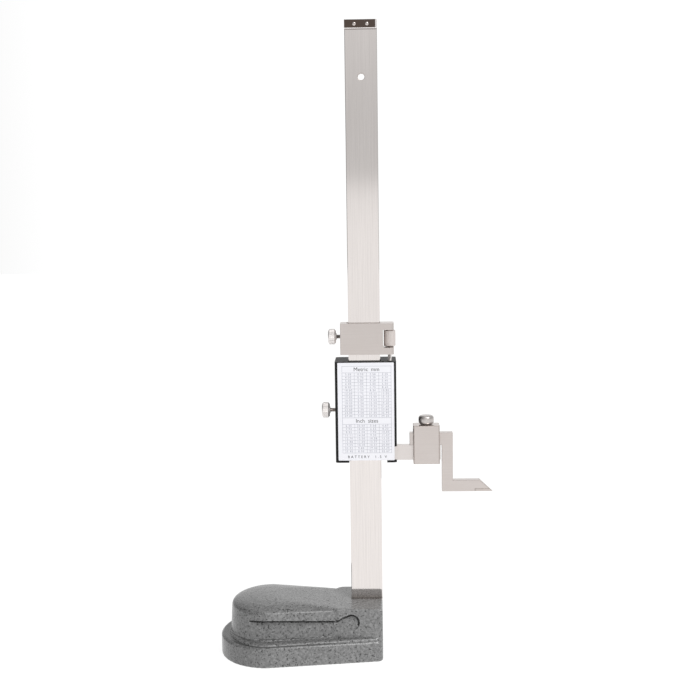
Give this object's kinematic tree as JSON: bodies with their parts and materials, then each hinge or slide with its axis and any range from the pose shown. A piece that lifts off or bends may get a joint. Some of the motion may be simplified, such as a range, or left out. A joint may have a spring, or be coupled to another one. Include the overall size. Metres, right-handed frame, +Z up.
{
  "type": "digital height gauge",
  "caption": "Single-beam height gauge on a cast grip base, with a digital head, fine-feed carriage, lock screws and a clamped carbide-tipped scriber.",
  "frame": {"origin": "on the surface plate under the middle of the beam", "axes": "+Z up along the beam, +X towards the scriber, -Y on the plain side with the data plate"},
  "size_m": [0.2104, 0.0876, 0.4773],
  "materials": {
    "grey_paint": "hammered grey paint with dark speckles",
    "ground_steel": "finely ground flat steel",
    "satin_steel": "satin ground steel",
    "bright_steel": "bright nickel plated steel",
    "polished_steel": "polished chrome",
    "black_steel": "black oxide",
    "dark_plate": "dark blued steel with bright bevels",
    "brass": "plain brass",
    "scale": "laminated scale strip",
    "black_plastic": "fine textured black plastic",
    "white_plate": "white printed plate",
    "window": "clear pane",
    "lcd": "grey green display panel",
    "white_plastic": "white plastic",
    "soft_black": "striped contact rubber",
    "board": "green circuit board",
    "key_plastic": "grey key plastic",
    "carbide": "ground carbide"
  },
  "bodies": {
    "base_column": {"base_casting": "grey_paint", "column_beam": "ground_steel", "column_screws": "black_steel", "scale_strip": "scale", "end_plate": "dark_plate", "end_plate_screws": "bright_steel"},
    "carriage": {"carriage_body": "satin_steel", "carriage_gib": "brass"},
    "nut": {"feed_nut": "bright_steel"},
    "carriage_pad": {"carriage_lock_pad": "brass"},
    "carriage_lock": {"carriage_lock_screw": "bright_steel"},
    "head": {"head_frame": "satin_steel", "head_gib": "brass", "gib_screws": "black_steel", "rear_cover": "black_plastic", "data_plate": "white_plate", "feed_screw": "bright_steel", "display_housing": "black_plastic", "housing_screws": "black_steel", "display_window": "window", "lcd_panel": "lcd", "lcd_carrier": "white_plastic", "contact_strips": "soft_black", "circuit_board": "board", "battery_cell": "bright_steel", "battery_contacts": "brass"},
    "battery_door": {"battery_cover": "black_plastic"},
    "port_plug": {"port_cover": "black_plastic"},
    "key_1": {"button_1": "key_plastic"},
    "key_2": {"button_2": "key_plastic"},
    "key_3": {"button_3": "key_plastic"},
    "key_4": {"button_4": "key_plastic"},
    "head_pad": {"head_lock_pad": "brass"},
    "head_lock": {"head_lock_screw": "bright_steel"},
    "clamp": {"scriber_clamp": "satin_steel"},
    "clamp_foot": {"clamp_pad": "brass"},
    "clamp_knob": {"clamp_screw": "polished_steel"},
    "scriber": {"scriber": "satin_steel", "scriber_tip": "carbide"}
  },
  "joints": [
    {"name": "carriage_slide", "type": "slide", "parent": "base_column", "child": "carriage", "axis": [0, 0, 1], "range_m": [-0.104, 0.21]},
    {"name": "nut_spin", "type": "hinge", "parent": "carriage", "child": "nut", "pos_m": [0.0193, 0, 0.2425], "axis": [0, 0, 1], "range_deg": [-1800, 1800]},
    {"name": "fine_feed", "type": "slide", "parent": "carriage", "child": "head", "axis": [0, 0, 1], "range_m": [-0.0025, 0.0025]},
    {"name": "carriage_pad_slide", "type": "slide", "parent": "carriage", "child": "carriage_pad", "axis": [-1, 0, 0], "range_m": [0, 0.0012]},
    {"name": "carriage_lock_turn", "type": "hinge", "parent": "carriage_pad", "child": "carriage_lock", "pos_m": [-0.02, 0, 0.24392], "axis": [-1, 0, 0], "range_deg": [0, 864]},
    {"name": "head_pad_slide", "type": "slide", "parent": "head", "child": "head_pad", "axis": [-1, 0, 0], "range_m": [0, 0.0012]},
    {"name": "head_lock_turn", "type": "hinge", "parent": "head_pad", "child": "head_lock", "pos_m": [-0.02, 0, 0.1878], "axis": [-1, 0, 0], "range_deg": [0, 864]},
    {"name": "clamp_slide", "type": "slide", "parent": "head", "child": "clamp", "axis": [1, 0, 0], "range_m": [-0.004, 0]},
    {"name": "clamp_foot_slide", "type": "slide", "parent": "clamp", "child": "clamp_foot", "axis": [0, 0, 1], "range_m": [0, 0.001]},
    {"name": "clamp_turn", "type": "hinge", "parent": "clamp_foot", "child": "clamp_knob", "pos_m": [0.04655, 0, 0.178], "axis": [0, 0, 1], "range_deg": [0, 450]},
    {"name": "scriber_slide", "type": "slide", "parent": "head", "child": "scriber", "axis": [1, 0, 0], "range_m": [0, 0.006]},
    {"name": "battery_door_slide", "type": "slide", "parent": "head", "child": "battery_door", "axis": [0, 0, -1], "range_m": [0, 0.012]},
    {"name": "port_plug_pull", "type": "slide", "parent": "head", "child": "port_plug", "axis": [1, 0, 0], "range_m": [0, 0.005]},
    {"name": "key_1_press", "type": "slide", "parent": "head", "child": "key_1", "axis": [0, -1, 0], "range_m": [0, 0.0008], "stiffness_N_per_m": 300, "springref_m": -0.0005},
    {"name": "key_2_press", "type": "slide", "parent": "head", "child": "key_2", "axis": [0, -1, 0], "range_m": [0, 0.0008], "stiffness_N_per_m": 300, "springref_m": -0.0005},
    {"name": "key_3_press", "type": "slide", "parent": "head", "child": "key_3", "axis": [0, -1, 0], "range_m": [0, 0.0008], "stiffness_N_per_m": 300, "springref_m": -0.0005},
    {"name": "key_4_press", "type": "slide", "parent": "head", "child": "key_4", "axis": [0, -1, 0], "range_m": [0, 0.0008], "stiffness_N_per_m": 300, "springref_m": -0.0005}
  ],
  "couplings": [
    {"joint": "nut_spin", "follows": "fine_feed", "rad_per_m": -12566},
    {"joint": "carriage_pad_slide", "follows": "carriage_lock_turn", "m_per_rad": 0.000079577},
    {"joint": "head_pad_slide", "follows": "head_lock_turn", "m_per_rad": 0.000079577},
    {"joint": "clamp_foot_slide", "follows": "clamp_turn", "m_per_rad": 0.00012732}
  ]
}
